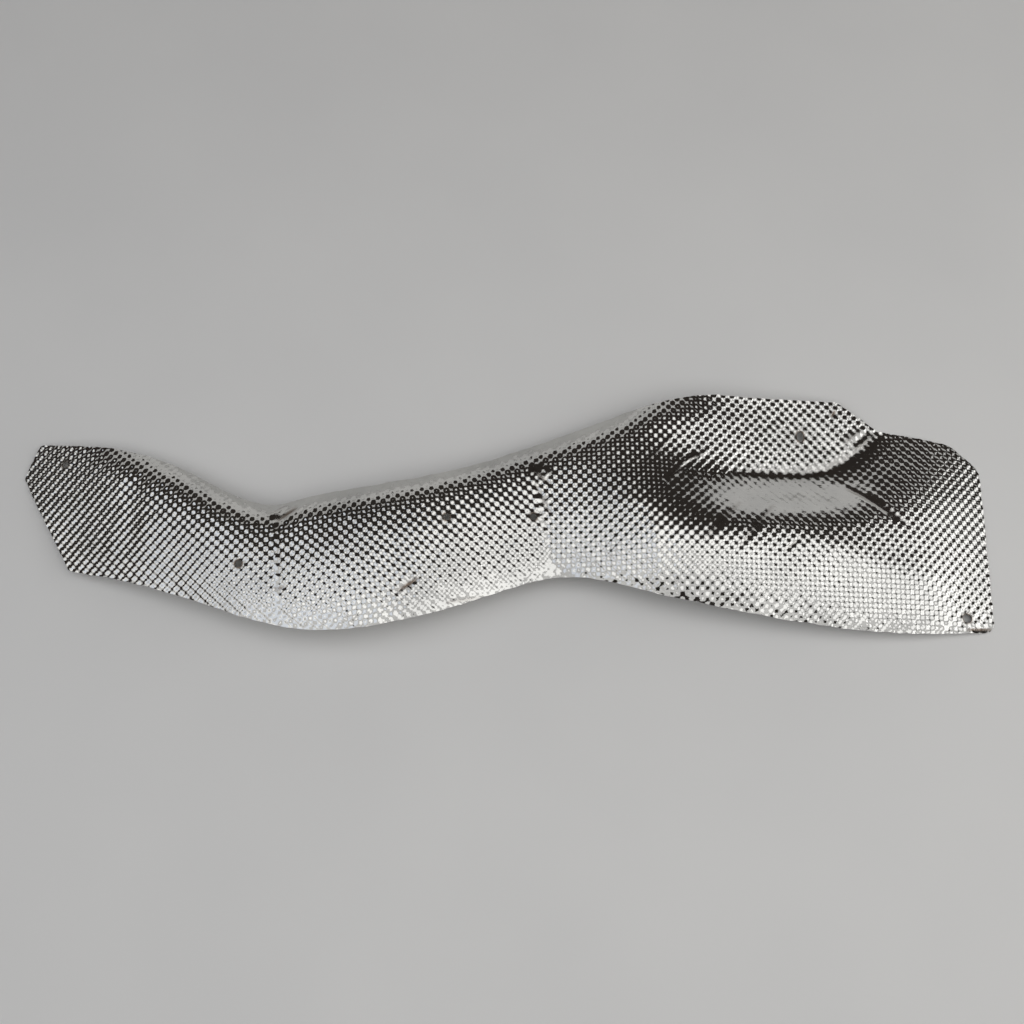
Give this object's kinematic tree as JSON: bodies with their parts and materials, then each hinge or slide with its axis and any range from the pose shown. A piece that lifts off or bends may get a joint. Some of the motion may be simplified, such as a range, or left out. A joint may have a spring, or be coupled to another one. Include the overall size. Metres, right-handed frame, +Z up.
{
  "type": "embossed heat shield",
  "caption": "Long swept heat shield pressed from one embossed aluminium sheet, with a rolled far edge, a stepped landing, pleats and punched fixing holes.",
  "frame": {"origin": "middle of the sheet's outer box, on the surface that it lies on", "axes": "+X along the length towards the wide end, +Y from the near edge to the rolled far edge, +Z up"},
  "size_m": [0.766, 0.194, 0.0461],
  "materials": {
    "embossed_aluminium": "bright embossed"
  },
  "bodies": {
    "root": {"heat_shield": "embossed_aluminium"}
  },
  "joints": []
}
